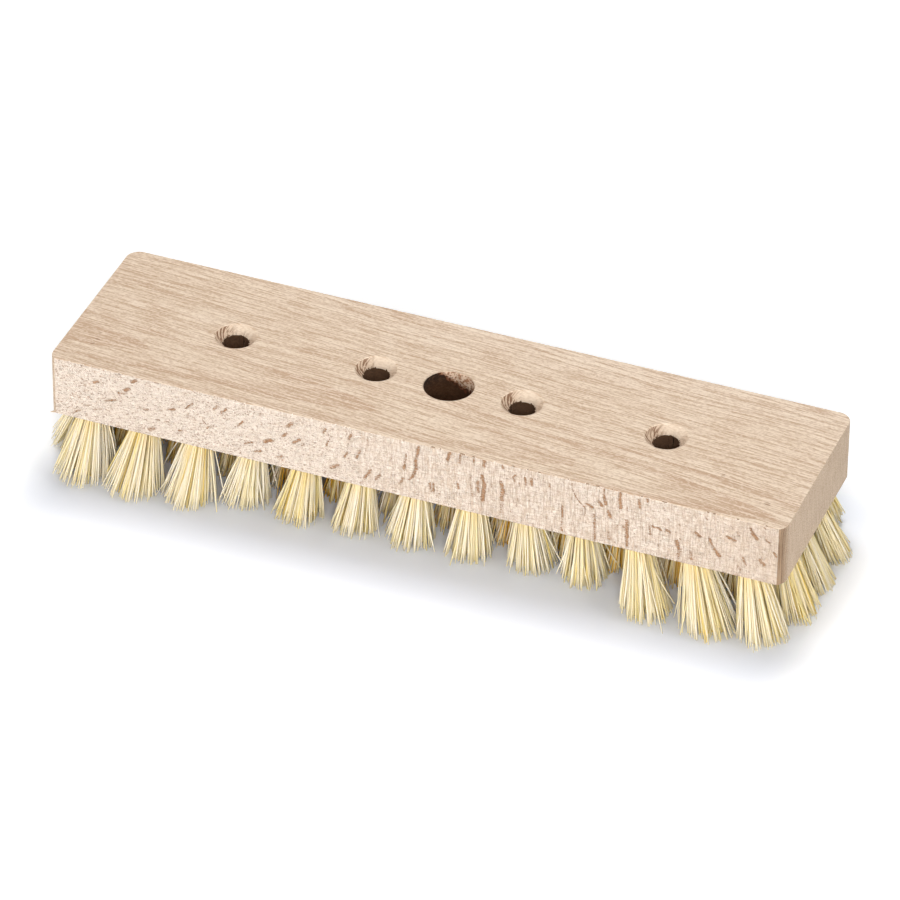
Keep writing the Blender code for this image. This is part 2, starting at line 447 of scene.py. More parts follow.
def sawn_beech():
    """The rough long sides of the board."""
    wood = Finish("sawn_beech")
    place = wood.millimetres()
    x, y, _ = wood.split(place)
    # The distance from the middle, counted to the right by whoever looks at that side.
    across = x * y * (-MM / HALF_WIDTH)
    right = across.smooth(-70, 20)
    ribs = wood.spots(place, (0.46, 6, 4), 1)
    lines = wood.spots(place, (3.5, 6, 0.4), 1, shift=(0, 0, 3))
    crumbs = wood.spots(place, (0.8, 0.9, 0.45), 1, turn=(0, 0.35, 0))
    grit = wood.spots(place, (0.45, 0.45, 0.4), 1, shift=(5, 0, 0))
    bars = wood.spots(place, (1.5, 2, 0.45), 1, shift=(2, 0, 0))
    mark = wood.attribute("fleck")
    ragged = mark * (bars * 1.7 + 0.15) + (crumbs - 0.5) * 0.5 + (grit - 0.5) * 1.3
    fleck = ragged.smooth(0.26, 0.95)
    pits = 1 - crumbs.smooth(0.3, 0.41)
    ribbed = ribs.smooth(0.45, 0.62) * (right * 0.5 + 0.1)
    shade = wood.blend(ribbed, colour(246, 231, 216), colour(208, 182, 158))
    lined = lines.smooth(0.47, 0.62) * (0.28 + right * 0.14)
    shade = wood.blend(lined, shade, colour(205, 178, 154))
    shade = wood.blend(pits * (0.8 - right * 0.4), shade, colour(178, 142, 116))
    # Painted shade: each sawn side gets darker towards its right end.
    shade = wood.blend(across.smooth(90, 145) * 0.3, shade, colour(214, 188, 164))
    shade = wood.blend((1 - grit.smooth(0.3, 0.5)) * 0.3, shade, colour(192, 158, 132))
    shade = wood.blend(fleck * (grit * 0.6 + 0.62), shade, colour(178, 134, 97))
    raised = crumbs * (1.1 - right * 0.5) + grit * 0.3
    grooves = (ribs + lines) * (0.35 + right * 0.4) + fleck * 0.45
    return wood.close(shade, 0.82, raised - grooves, 0.0015)


# %% [markdown]
# ## End grain, drilled walls and countersinks
# End grain drinks light and looks darker, with fine upright streaks. The front right corner,
# where the saw cut across the fibres, is darker with dark stripes: partly its own end grain and
# partly painted shade, as the light comes from the left. The walls of the bores are dark brown:
# partly from the burn and tear of the drill, partly painted shade inside the holes. Hardly any
# light falls deep into a hole, so the colour gets a little paler there, or the hole would look
# black. A countersink cuts along the fibres on two sides and across them on the other two, which
# leaves dark spokes, and its left and right walls are painted darker as shade.

# %% The other cut faces
# The handle hole's wall tore out on one side, and light falls on that side: its pale patch is
# partly bare torn wood and partly painted light. The patch starts where a spoke's share in that
# direction is large enough, reaches deeper from there on, and has a ragged lower edge.
LIT_TORN_SIDE = (0.42, 0.907)
LIT_TORN_FROM = 0.31
LIT_TORN_DEEPER = 11.5
LIT_TORN_RAGGED = 6
# The cutter turned as it sank in, so the spokes lean by this much for each millimetre.
SPOKE_TWIST = -0.24


def end_beech():
    """The two ends of the board and its upright corners."""
    wood = Finish("end_beech")
    place = wood.millimetres()
    x, y, _ = wood.split(place)
    streaks = wood.spots(place, (3, 0.5, 9), 1)
    grains = wood.spots(place, (1.2, 0.45, 0.7), 1)
    streaked = streaks.smooth(0.42, 0.6) * 0.6
    shade = wood.blend(streaked, colour(206, 185, 162), colour(176, 149, 124))
    shade = wood.blend(grains.smooth(0.5, 0.64) * 0.45, shade, colour(166, 135, 108))
    shade = wood.blend((1 - grains.smooth(0.34, 0.46)) * 0.45, shade, colour(228, 209, 187))
    # The darker facet is only at the right end of the front: partly its end grain, partly painted
    # shade.
    turned = (-y - FRONT_ARC_START).smooth(-1.5, 4.2) * x.smooth(-10, 10)
    stripes = wood.spots(place, (0.36, 0.36, 16), 1).smooth(0.4, 0.62)
    shaded_facet = wood.blend(stripes, colour(150, 123, 96), colour(108, 82, 59))
    shade = wood.blend(turned * 0.9, shade, shaded_facet)
    return wood.close(shade, 0.75, streaks + grains, 0.0004)


def bored_beech():
    """The walls of the drilled holes, partly painted shade. The handle hole is pale where it tore
    out: bare wood and painted light.
    """
    wood = Finish("bored_beech")
    place = wood.millimetres()
    depth = TOP / MM - wood.split(place)[2]
    torn = wood.spots(place, (1.4, 1.4, 1.0), 2)
    spoke_x, spoke_y = wood.attribute("spoke_x"), wood.attribute("spoke_y")
    toward = spoke_x * LIT_TORN_SIDE[0] + spoke_y * LIT_TORN_SIDE[1]
    handle = 1 - wood.attribute("hole_number").smooth(0.2, 0.8)
    # Painted light: the pale torn patch also stands in for light falling on that side of the
    # wall.
    edge = (toward - LIT_TORN_FROM) * LIT_TORN_DEEPER - depth + (torn - 0.5) * LIT_TORN_RAGGED
    torn_and_lit = edge.smooth(-0.4, 0.9) * handle
    # Painted shade: the dark brown of the screw bores also stands in for the shade inside them.
    screw = wood.blend(depth.smooth(2, 9), colour(84, 60, 42), colour(110, 82, 60))
    # The handle hole's wall is nearly black: burnt wood and painted shade.
    burnt_and_shaded = wood.blend(depth.smooth(0, 9), colour(38, 22, 12), colour(82, 52, 30))
    shade = wood.blend(handle, screw, burnt_and_shaded)
    shade = wood.blend(torn.smooth(0.45, 0.6) * 0.35, shade, colour(104, 74, 50))
    raw_and_lit = wood.blend(torn.smooth(0.46, 0.58), colour(230, 202, 176), colour(166, 122, 92))
    rind = 1 - (edge - 0.3).size().smooth(0.3, 1.5)
    raw_and_lit = wood.blend(rind * handle, raw_and_lit, colour(112, 62, 38))
    shade = wood.blend(torn_and_lit, shade, raw_and_lit)
    return wood.close(shade, 0.85, torn, 0.0006)


def countersunk_beech():
    """The cones of the screw holes: scored on the left where the cutter met end grain, left and
    right walls painted darker as shade.
    """
    wood = Finish("countersunk_beech")
    turn_x = wood.attribute("spoke_x")
    turn_y = wood.attribute("spoke_y")
    place = wood.millimetres()
    twist = (TOP / MM - wood.split(place)[2]) * SPOKE_TWIST
    hole = wood.attribute("hole_number")
    around = wood.joined(turn_x - turn_y * twist, turn_y + turn_x * twist, hole)
    spokes = wood.spots(around, (0.19, 0.19, 1), 1)
    left_scored_and_shaded = 1 - turn_x.smooth(-0.97, -0.25)
    right = turn_x.smooth(0.55, 1.0)
    crumbs = wood.spots(place, (1.6, 0.5, 0.6), 2)
    crumbled = crumbs.smooth(0.45, 0.62) * 0.35
    shade = wood.blend(crumbled, colour(222, 202, 180), colour(192, 164, 138))
    # Painted shade: the left and right walls of each cone are darker.
    shade = wood.blend(left_scored_and_shaded * 0.5 + right * 0.5, shade, colour(196, 165, 137))
    scored = spokes.smooth(0.47, 0.55) * (left_scored_and_shaded * 0.9 + right * 0.3)
    shade = wood.blend(scored, shade, colour(118, 82, 56))
    return wood.close(shade, 0.8, crumbs - spokes * left_scored_and_shaded, 0.0003)


# %% [markdown]
# ## The board
# The board starts as a box a little wider than the CAD block. Its upright corners are
# rounded, and then its front is sawn off to the right width, which leaves the sharp upright
# line at both front corners. Bisect makes that cut and fills it. The holes are cut by
# drills: cylinders and cones that a Boolean modifier takes away, so each cut stays sharp.

# %% Shape the blank
EDGE_SOFTENING = 0.4 * MM
LOWER_EDGE_SOFTENING = 0.15 * MM
CLOSE = 0.01 * MM


def is_upright(first, second):
    return abs(first.x - second.x) < CLOSE and abs(first.y - second.y) < CLOSE


def at_top(first, second):
    return first.z > TOP - CLOSE and second.z > TOP - CLOSE


def at_underside(first, second):
    return first.z < UNDERSIDE + CLOSE and second.z < UNDERSIDE + CLOSE


def saw_front(blank):
    """Cut the front of the blank off at the width of the CAD block."""
    edit_edges(blank, lambda first, second: True)
    front = (0, -HALF_WIDTH, 0)
    bpy.ops.mesh.bisect(plane_co=front, plane_no=(0, -1, 0), use_fill=True, clear_outer=True)
    close_edit()


def shape_blank():
    """A box with rounded corners, a sawn front and soft edges."""
    width, height = 2 * HALF_WIDTH + FRONT_SAWN_OFF, TOP - UNDERSIDE
    middle = (0, -FRONT_SAWN_OFF / 2, (TOP + UNDERSIDE) / 2)
    size = (2 * HALF_LENGTH, width, height)
    only(None)
    bpy.ops.mesh.primitive_cube_add(size=1, location=middle, scale=size)
    blank = settle("beech_board")
    edit_edges(blank, is_upright)
    bpy.ops.mesh.bevel(offset=CORNER_RADIUS, segments=9, affect="EDGES")
    close_edit()
    saw_front(blank)
    edit_edges(blank, at_top)
    bpy.ops.mesh.bevel(offset=EDGE_SOFTENING, segments=2, affect="EDGES")
    close_edit()
    edit_edges(blank, at_underside)
    bpy.ops.mesh.bevel(offset=LOWER_EDGE_SOFTENING, segments=1, affect="EDGES")
    close_edit()
    return blank


def side_end(side):
    """Where the flat of a long side ends: the rounding takes more of the rear one."""
    return max(abs(v.co.x) for v in board.data.vertices if v.co.y * side > HALF_WIDTH - CLOSE)


board = shape_blank()
SIDE_ENDS = {side: side_end(side) for side in (-1, 1)}
print("Blank:", len(board.data.polygons), "faces,", [round(v, 4) for v in board.dimensions])
print("The flat of each long side ends at", SIDE_ENDS)

# %% [markdown]
# The tufts' places are read from the CAD model, so the blind holes meet them exactly. One
# drill is modelled for the fibre holes and copied to each tuft, each copy with its own mesh.

# %% Drill the board
HANDLE_RADIUS = 9.8 * MM
SCREW_RADIUS = 5.2 * MM
CONE_RADIUS = 8.3 * MM
CONE_DEPTH = CONE_RADIUS - SCREW_RADIUS
SCREW_PLACES = (-88.5 * MM, -30 * MM, 30 * MM, 88.5 * MM)
FIBRE_HOLE_RADIUS = 4.5 * MM
FIBRE_HOLE_DEPTH = 13 * MM
OVERRUN = 1 * MM

tuft_nodes = sorted(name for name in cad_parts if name.startswith("tuft"))


def tuft_root(name):
    """The middle of a tuft's hole, from the top of its CAD solid."""
    places = places_of(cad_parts[name])
    plug = places[places[:, 2] > UNDERSIDE]
    return (plug.min(axis=0) + plug.max(axis=0)) / 2


def add_drill(x, radius, low, high, sides, tip_radius=None):
    """A cylinder on the middle line of the board, or a cone when its low end differs."""
    only(None)
    bpy.ops.mesh.primitive_cone_add(
        vertices=sides,
        radius1=radius if tip_radius is None else tip_radius,
        radius2=radius,
        depth=high - low,
        location=(x, 0, (low + high) / 2),
    )
    return settle("drill")


def copies_at(drill, places):
    """Copies of a drill, each moved to its place."""
    made = []
    for x, y in places:
        copy = drill.copy()
        copy.data = drill.data.copy()
        copy.data.transform(Matrix.Translation((x, y, 0)))
        bpy.context.collection.objects.link(copy)
        made.append(copy)
    bpy.data.objects.remove(drill)
    return made


def cut_away(board, drill):
    """Take a drill away from the board."""
    only(board)
    cut = board.modifiers.new("drilling", "BOOLEAN")
    cut.operation = "DIFFERENCE"
    cut.solver = "EXACT"
    cut.object = drill
    bpy.ops.object.modifier_apply(modifier=cut.name)
    bpy.data.objects.remove(drill)


def drill_board(board):
    """Cut the handle hole, the screw holes with their cones, and the fibre holes."""
    low, high = UNDERSIDE - OVERRUN, TOP + OVERRUN
    bores = [add_drill(0, HANDLE_RADIUS, low, high, 96)]
    bores += [add_drill(x, SCREW_RADIUS, low, high, 64) for x in SCREW_PLACES]
    cut_away(board, join(bores, "bores"))
    cone_low = TOP - CONE_DEPTH - OVERRUN
    cone_sizes = (CONE_RADIUS + OVERRUN, cone_low, high, 64, SCREW_RADIUS - OVERRUN)
    cones = [add_drill(x, *cone_sizes) for x in SCREW_PLACES]
    cut_away(board, join(cones, "cones"))
    blind = add_drill(0, FIBRE_HOLE_RADIUS, low, UNDERSIDE + FIBRE_HOLE_DEPTH, 24)
    roots = [tuft_root(name)[:2] for name in tuft_nodes]
    cut_away(board, join(copies_at(blind, roots), "fibre_holes"))


drill_board(board)
print("Drilled board:", len(board.data.polygons), "faces for", len(tuft_nodes), "tufts")

# %% [markdown]
# A sharp rim catches no light. The rims of the holes in the top get a very narrow bevel,
# which shows as the thin pale line on the near side of each hole.

# %% Soften the rims of the holes in the top
RIM_SOFTENING = 0.3 * MM
LONGEST_RIM_EDGE = 2 * MM
HOLE_PLACES = (0.0, *SCREW_PLACES)


def radius_from_hole(place):
    """How far a place is from the axis of the nearest hole on the middle line."""
    return min(math.hypot(place.x - x, place.y) for x in HOLE_PLACES)


def is_hole_rim(first, second):
    """A level edge that runs round a hole, near the top."""
    level = abs(first.z - second.z) < CLOSE and first.z > TOP - CONE_DEPTH - CLOSE * 2
    near, far = sorted((radius_from_hole(first), radius_from_hole(second)))
    round_hole = far - near < CLOSE and far < HANDLE_RADIUS + CLOSE
    return level and round_hole and (first - second).length < LONGEST_RIM_EDGE


edit_edges(board, is_hole_rim)
bpy.ops.mesh.bevel(offset=RIM_SOFTENING, segments=1, affect="EDGES")
close_edit()
print("With soft rims:", len(board.data.polygons), "faces")

# %% [markdown]
# ## Rough sides and torn wood
# Relief needs vertices. The two sawn sides are divided into half-millimetre squares, and the
# wall of the handle hole into a fine grid. Then the vertices are moved a little: dents for
# the flecks, small bumps from the saw, a ragged arris, and torn fibres in the hole.

# %% Divide the sides and the handle hole's wall
SIDE_CUTS = (99, 5)
UPRIGHT_CUTS = 51
WALL_CUTS = 31
LONG_RUN, SHORT_RUN = 100 * MM, 2 * MM
TALL = 20 * MM


def on_long_side(place):
    return abs(place.y) > HALF_WIDTH - EDGE_SOFTENING - CLOSE


def runs_along(first, second, least):
    """A level edge along X on one of the long sides."""
    level = abs(first.z - second.z) < CLOSE and abs(first.y - second.y) < CLOSE
    return level and on_long_side(first) and abs(first.x - second.x) > least


def is_side_upright(first, second):
    tall = abs(first.z - second.z) > TALL
    flat = min(abs(first.y), abs(second.y)) > HALF_WIDTH - CLOSE
    return tall and flat and is_upright(first, second)


def is_wall_upright(first, second):
    inside = math.hypot(first.x, first.y) < HANDLE_RADIUS + CLOSE
    return inside and is_upright(first, second) and abs(first.z - second.z) > TALL


def divide(board):
    """Cut the sawn sides and the wall of the handle hole into small squares."""
    cuts = (
        (lambda first, second: runs_along(first, second, LONG_RUN), SIDE_CUTS[0]),
        (lambda first, second: runs_along(first, second, SHORT_RUN), SIDE_CUTS[1]),
        (is_side_upright, UPRIGHT_CUTS),
        (is_wall_upright, WALL_CUTS),
    )
    for wanted, count in cuts:
        edit_edges(board, wanted)
        bpy.ops.mesh.subdivide(number_cuts=count)
        close_edit()


divide(board)
print("Divided board:", len(board.data.polygons), "faces")

# %% [markdown]
# Each worn mark on a sawn side is a stroke: two ends, a half width and a strength. On the
# front the strong ones are put where the real board has them. They lean up to the right on
# the left third, stand upright from the middle on, and fall to the right at the right end.
# Faint ones with the same lean are scattered between them by a seeded random generator, so
# every run gives the same board. The rear has scattered ones only.

# %% Place the strong marks of the front
# Each row is a stroke in millimetres: its ends, as the distance from the middle of the board
# and the distance below its top, its half width, and last its strength.
FRONT_MARKS = (
    (-140.6, 24.1, -139.5, 23.5, 0.4, 0.8),
    (-139.0, 22.8, -137.2, 22.0, 0.45, 0.9),
    (-136.3, 0.2, -135.6, 0.6, 0.4, 0.8),
    (-136.0, 9.8, -134.5, 9.1, 0.4, 0.7),
    (-135.0, 19.0, -132.5, 18.3, 0.4, 0.6),
    (-131.5, 20.2, -127.5, 18.7, 0.45, 0.7),
    (-131.0, 7.2, -129.3, 6.3, 0.8, 1.0),
    (-126.4, 14.8, -122.1, 13.0, 0.5, 0.95),
    (-122.4, 25.8, -120.4, 25.1, 0.7, 0.6),
    (-121.0, 9.4, -118.2, 9.0, 0.45, 0.9),
    (-117.9, 7.5, -116.3, 6.3, 0.95, 1.0),
    (-115.0, 2.8, -113.2, 1.5, 0.75, 1.0),
    (-113.0, 25.0, -110.4, 23.1, 0.45, 0.7),
    (-112.0, 13.6, -110.8, 14.0, 0.35, 0.7),
    (-110.0, 14.3, -108.3, 13.8, 0.6, 0.85),
    (-108.2, 23.4, -106.3, 22.2, 1.1, 0.75),
    (-105.5, 0.3, -104.4, 0.2, 0.5, 0.9),
    (-105.0, 17.8, -103.6, 17.6, 0.35, 0.8),
    (-103.5, 13.2, -102.4, 12.8, 0.45, 0.7),
    (-101.6, 17.8, -100.0, 17.5, 0.4, 0.8),
    (-99.6, 11.6, -97.2, 10.7, 0.6, 1.0),
    (-97.0, 8.6, -95.4, 7.6, 0.35, 0.5),
    (-95.6, 20.4, -94.1, 19.8, 0.5, 0.9),
    (-92.6, 9.1, -89.7, 6.0, 0.5, 1.0),
    (-92.0, 24.1, -90.5, 23.7, 0.35, 0.4),
    (-90.0, 21.5, -88.8, 20.7, 0.4, 0.6),
    (-88.4, 17.8, -87.2, 17.3, 0.4, 0.6),
    (-85.6, 12.8, -84.7, 13.9, 0.4, 0.9),
    (-84.2, 16.1, -81.0, 14.3, 0.45, 0.85),
    (-81.0, 6.6, -79.4, 4.5, 0.6, 0.8),
    (-79.0, 4.6, -77.8, 3.4, 0.35, 0.6),
    (-77.8, 7.1, -75.8, 5.0, 0.7, 0.95),
    (-76.0, 10.1, -74.0, 8.9, 0.4, 0.6),
    (-73.6, 21.1, -71.4, 20.5, 0.35, 0.6),
    (-70.9, 11.4, -68.8, 9.0, 0.5, 0.95),
    (-68.1, 19.1, -65.1, 17.7, 0.5, 0.95),
    (-66.6, 4.1, -65.5, 3.4, 0.35, 0.7),
    (-64.4, 4.0, -63.8, 3.2, 0.35, 0.7),
    (-64.0, 21.8, -61.4, 20.7, 0.7, 0.8),
    (-62.0, 3.8, -61.0, 2.8, 0.4, 0.8),
    (-60.0, 16.1, -57.4, 14.6, 0.95, 1.0),
    (-57.2, 15.6, -55.8, 14.7, 0.4, 0.7),
    (-54.5, 21.8, -52.4, 20.9, 0.5, 0.8),
    (-52.4, 11.6, -50.7, 9.8, 0.7, 1.0),
    (-50.3, 6.4, -48.5, 4.2, 0.95, 0.9),
    (-48.0, 13.3, -45.3, 11.1, 0.7, 1.0),
    (-44.4, 13.8, -43.5, 12.6, 0.45, 0.9),
    (-36.6, 16.1, -36.0, 15.2, 0.4, 0.6),
    (-35.6, 5.3, -34.7, 3.2, 0.65, 0.85),
    (-34.5, 10.6, -33.4, 8.4, 0.4, 0.9),
    (-33.4, 8.4, -32.5, 6.0, 0.3, 0.8),
    (-32.4, 20.6, -29.4, 18.8, 1.1, 0.8),
    (-27.0, 14.3, -25.8, 11.9, 0.65, 0.85),
    (-25.2, 5.3, -24.2, 3.2, 0.7, 0.9),
    (-22.0, 13.4, -20.5, 9.7, 0.6, 0.95),
    (-20.5, 9.7, -19.8, 6.8, 0.3, 0.5),
    (-20.3, 24.8, -18.8, 23.1, 0.6, 0.6),
    (-18.6, 21.8, -16.0, 17.4, 0.8, 0.85),
    (-14.0, 21.0, -12.4, 18.8, 0.85, 0.85),
    (-4.6, 23.9, -4.3, 22.9, 0.5, 0.4),
    (-4.0, 20.4, -2.9, 17.6, 0.8, 0.85),
    (-2.6, 12.9, -2.3, 11.6, 1.0, 1.0),
    (-2.3, 11.6, -1.7, 6.0, 0.6, 0.7),
    (3.4, 1.4, 2.8, 5.2, 0.8, 1.0),
    (2.5, 5.6, 2.2, 8.6, 0.65, 1.0),
    (2.2, 8.6, 2.5, 12.0, 0.85, 1.0),
    (2.3, 12.0, 1.0, 15.8, 0.8, 1.0),
    (0.8, 16.2, -0.6, 17.9, 0.5, 0.9),
    (7.0, 6.0, 7.0, 11.8, 0.35, 0.4),
    (10.1, 5.6, 10.2, 11.8, 0.35, 0.4),
    (8.0, 17.0, 8.4, 20.4, 0.65, 0.85),
    (9.5, 16.8, 9.6, 20.2, 0.6, 0.85),
    (12.2, 21.0, 10.6, 22.3, 0.7, 0.5),
    (16.2, 0.1, 15.1, 4.3, 0.8, 1.0),
    (20.3, 0.2, 20.0, 4.3, 0.55, 0.95),
    (18.5, 5.6, 18.8, 13.6, 0.35, 0.45),
    (19.3, 14.1, 19.6, 16.2, 0.7, 0.85),
    (24.4, 9.6, 25.4, 18.8, 0.45, 0.6),
    (25.7, 0.6, 25.5, 2.8, 0.4, 0.7),
    (27.5, 11.0, 27.7, 15.8, 0.75, 0.95),
    (30.0, 0.1, 29.9, 3.3, 0.85, 1.0),
    (29.2, 7.6, 30.2, 11.8, 0.8, 1.0),
    (30.2, 11.8, 29.5, 18.9, 1.0, 1.0),
    (29.2, 19.0, 28.8, 24.6, 0.5, 0.5),
    (37.0, 0.1, 37.6, 1.9, 0.6, 0.95),
    (36.8, 8.6, 37.7, 11.8, 0.8, 1.0),
    (37.7, 11.8, 37.3, 17.0, 0.95, 0.95),
    (37.3, 18.0, 37.0, 22.3, 1.2, 0.6),
    (41.7, 5.2, 42.6, 3.6, 0.5, 0.95),
    (41.7, 5.2, 42.4, 7.2, 0.5, 0.9),
    (46.5, 4.0, 46.9, 7.2, 0.6, 0.95),
    (49.0, 3.8, 49.3, 6.8, 0.7, 1.0),
    (56.2, 3.8, 56.6, 6.0, 0.6, 0.7),
    (61.5, 12.8, 61.8, 18.0, 0.55, 0.9),
    (61.8, 18.0, 61.3, 24.2, 0.45, 0.8),
    (65.2, 1.2, 65.6, 4.2, 0.35, 0.7),
    (65.6, 4.2, 67.4, 8.0, 0.35, 0.75),
    (67.4, 8.0, 70.4, 11.0, 0.4, 0.8),
    (70.6, 10.8, 71.0, 15.0, 0.4, 0.6),
    (71.5, 9.3, 73.8, 10.4, 0.65, 1.0),
    (74.6, 13.6, 74.9, 25.2, 0.65, 0.85),
    (76.2, 6.9, 77.6, 8.5, 0.75, 1.0),
    (78.1, 0.3, 78.2, 2.0, 0.5, 0.9),
    (78.2, 3.6, 79.0, 7.6, 0.75, 1.0),
    (80.0, 10.4, 81.1, 12.9, 0.85, 1.0),
    (80.6, 20.2, 80.7, 23.0, 1.2, 0.6),
    (84.6, 0.3, 84.5, 2.9, 0.75, 0.95),
    (84.6, 4.0, 84.9, 7.4, 1.05, 1.0),
    (87.5, 6.9, 87.5, 8.0, 0.5, 0.7),
    (87.5, 12.8, 87.8, 24.0, 0.9, 0.9),
    (92.1, 1.8, 92.6, 5.5, 0.6, 0.9),
    (95.2, 0.4, 95.5, 1.5, 0.65, 0.9),
    (96.5, 12.7, 97.0, 16.5, 0.5, 0.8),
    (97.7, 12.2, 98.6, 12.8, 0.5, 0.9),
    (99.9, 12.6, 101.1, 13.1, 0.7, 1.0),
    (103.3, 12.6, 104.6, 13.2, 0.75, 1.0),
    (107.5, 16.8, 108.5, 20.0, 0.9, 0.95),
    (108.5, 20.0, 108.3, 25.4, 1.3, 0.6),
    (113.2, 20.2, 113.5, 23.2, 0.95, 0.75),
    (114.9, 10.6, 116.6, 11.9, 0.75, 1.0),
    (120.4, 11.8, 121.3, 13.8, 0.6, 0.95),
    (121.5, 14.4, 123.0, 16.4, 0.5, 0.8),
    (122.8, 16.6, 124.6, 18.8, 1.15, 0.9),
    (127.4, 9.0, 130.6, 10.1, 0.75, 0.95),
    (132.0, 21.3, 133.3, 23.5, 0.85, 0.55),
    (133.9, 17.3, 135.0, 20.0, 0.75, 0.75),
    (136.4, 2.8, 137.2, 4.6, 0.6, 0.95),
    (137.2, 4.6, 139.1, 7.0, 0.95, 1.0),
    (140.4, 16.3, 142.1, 17.9, 0.95, 0.85),
    (142.4, 6.4, 143.9, 7.2, 0.55, 0.9),
    (145.9, 11.3, 146.9, 13.0, 0.6, 0.9),
)

# %% Scatter the faint marks
luck = np.random.default_rng(11)
LEAN_PLACES = (-150, -60, -10, 40, 90, 140)
LEAN_ANGLES = (0.45, 0.8, 1.2, 1.57, 1.8, 2.4)
LEAN_SCATTER = 0.12
THICKNESS = 26
DASHES, COLUMNS = 260, 46
DASH_LENGTHS, COLUMN_LENGTHS = (0.3, 1.8), (2, 9)
FAINT_HALF_WIDTHS = (0.25, 0.45)


def stroke(x, below, lean, length, half_width, strength):
    """A mark from its middle, its lean in radians, and sizes in millimetres."""
    across, up = math.cos(lean) * length / 2, math.sin(lean) * length / 2
    return (x - across, below + up, x + across, below - up, half_width, strength)


def scatter(count, low, high, lengths, half_widths, strengths):
    """Random strokes between two places along the board, within the given limits."""
    for _ in range(count):
        x, below = luck.uniform(low, high), luck.uniform(0, THICKNESS)
        lean = np.interp(x, LEAN_PLACES, LEAN_ANGLES) + luck.normal(0, LEAN_SCATTER)
        sizes = [luck.uniform(*limits) for limits in (lengths, half_widths, strengths)]
        yield stroke(x, below, lean, *sizes)


def scatter_side(strongest):
    """Small dashes all over, and thin columns from the middle on."""
    limits = (DASH_LENGTHS, FAINT_HALF_WIDTHS, (0.35, strongest))
    dashes = [*scatter(DASHES, -148, 148, *limits)]
    limits = (COLUMN_LENGTHS, FAINT_HALF_WIDTHS, (0.3, 0.7 * strongest))
    return dashes + [*scatter(COLUMNS, -20, 125, *limits)]


marks_of_side = {-1: [*FRONT_MARKS, *scatter_side(0.75)], 1: scatter_side(1.0)}
print("Marks on the front and the rear:", [len(marks) for marks in marks_of_side.values()])

# %% [markdown]
# A vertex inside a stroke is pushed into the wood a little, and keeps how far inside it is,
# so that the material can colour the same place.

# %% Move the vertices
MARK_DEPTH = 0.22 * MM
MARK_REACH = 1.35
SAW_ROUGHNESS = 0.04 * MM
RIGHT_END_ROUGHER = 1.5
SAW_BUMP_SIZES = (1.1 * MM, 4 * MM)
FADE_LENGTH = 2 * MM
NOTCH_LENGTH = 1.4 * MM
NOTCH_DEPTHS = {-1: 0.5 * MM, 1: 0.12 * MM}
NOTCHES_FROM = 0.05
SOUND_RIM = 1 * MM
TEAR_SIZE = 1.6 * MM
TEAR_DEPTH = 0.8 * MM
TEAR_SHAPE = (1, 1, 0.35)
TORN_MORE = 0.1
LEAST_TORN = 0.35


def clouds(places, size):
    """Smooth random heights from -1 to 1, with bumps of about that size."""
    return np.array([cloud(Vector(place)) for place in places / size])


def mark_strength(x, below, strokes):
    """How far each place lies inside the strokes, from 0 to 1."""
    strength = np.zeros(len(x))
    for start_x, start_below, end_x, end_below, half_width, strongest in strokes:
        run, drop = end_x - start_x, end_below - start_below
        share = ((x - start_x) * run + (below - start_below) * drop) / (run**2 + drop**2)
        share = np.clip(share, 0, 1)
        reach = np.hypot(x - start_x - share * run, below - start_below - share * drop)
        inside = np.clip(MARK_REACH - reach / half_width, 0, 1)
        strength = np.maximum(strength, inside * strongest)
    return strength


def roughen_side(places, side, marks):
    """Dent and roughen one sawn side."""
    flat = places[:, 1] * side > HALF_WIDTH - CLOSE
    x, z = places[flat, 0], places[flat, 2]
    turned = x * -side
    mark = mark_strength(turned / MM, (TOP - z) / MM, marks_of_side[side])
    fade = np.clip((SIDE_ENDS[side] - np.abs(x)) / FADE_LENGTH, 0, 1)
    rough = SAW_ROUGHNESS * (1 + np.clip(turned / HALF_LENGTH, 0, 1) * RIGHT_END_ROUGHER)
    bumps = sum(clouds(places[flat], size) * rough for size in SAW_BUMP_SIZES)
    inward = mark * MARK_DEPTH + np.abs(bumps)
    places[flat, 1] -= side * inward * fade
    marks[flat] = mark


def fray_arris(places, side):
    """Make the upper edge of a sawn side a little ragged."""
    rim = places[:, 1] * side > HALF_WIDTH - EDGE_SOFTENING - CLOSE
    rim &= places[:, 2] > TOP - EDGE_SOFTENING - CLOSE
    chosen = rim & (np.abs(places[:, 0]) < SIDE_ENDS[side] - CLOSE)
    x = places[chosen, 0]
    line = np.stack([x, np.full(len(x), side * 1.0), np.zeros(len(x))], axis=1)
    notch = np.clip(clouds(line, NOTCH_LENGTH) - NOTCHES_FROM, 0, 1) * NOTCH_DEPTHS[side]
    on_top = places[chosen, 2] > TOP - CLOSE
    on_side = places[chosen, 1] * side > HALF_WIDTH - CLOSE
    places[chosen, 1] -= side * notch * ~on_side
    places[chosen, 2] -= notch * ~on_top


def tear_wall(places):
    """Roughen the wall of the handle hole, most at the back right."""
    reach = np.hypot(places[:, 0], places[:, 1])
    wall = reach < HANDLE_RADIUS + CLOSE
    wall &= (places[:, 2] < TOP - SOUND_RIM) & (places[:, 2] > UNDERSIDE + CLOSE)
    chosen = places[wall]
    torn = np.clip(clouds(chosen * TEAR_SHAPE, TEAR_SIZE) + TORN_MORE, 0, 1)
    back_right = np.clip((chosen[:, 0] + chosen[:, 1]) / HANDLE_RADIUS, 0, 1)
    depth = torn * (LEAST_TORN + (1 - LEAST_TORN) * back_right) * TEAR_DEPTH
    places[wall, :2] *= (1 + depth / reach[wall])[:, None]


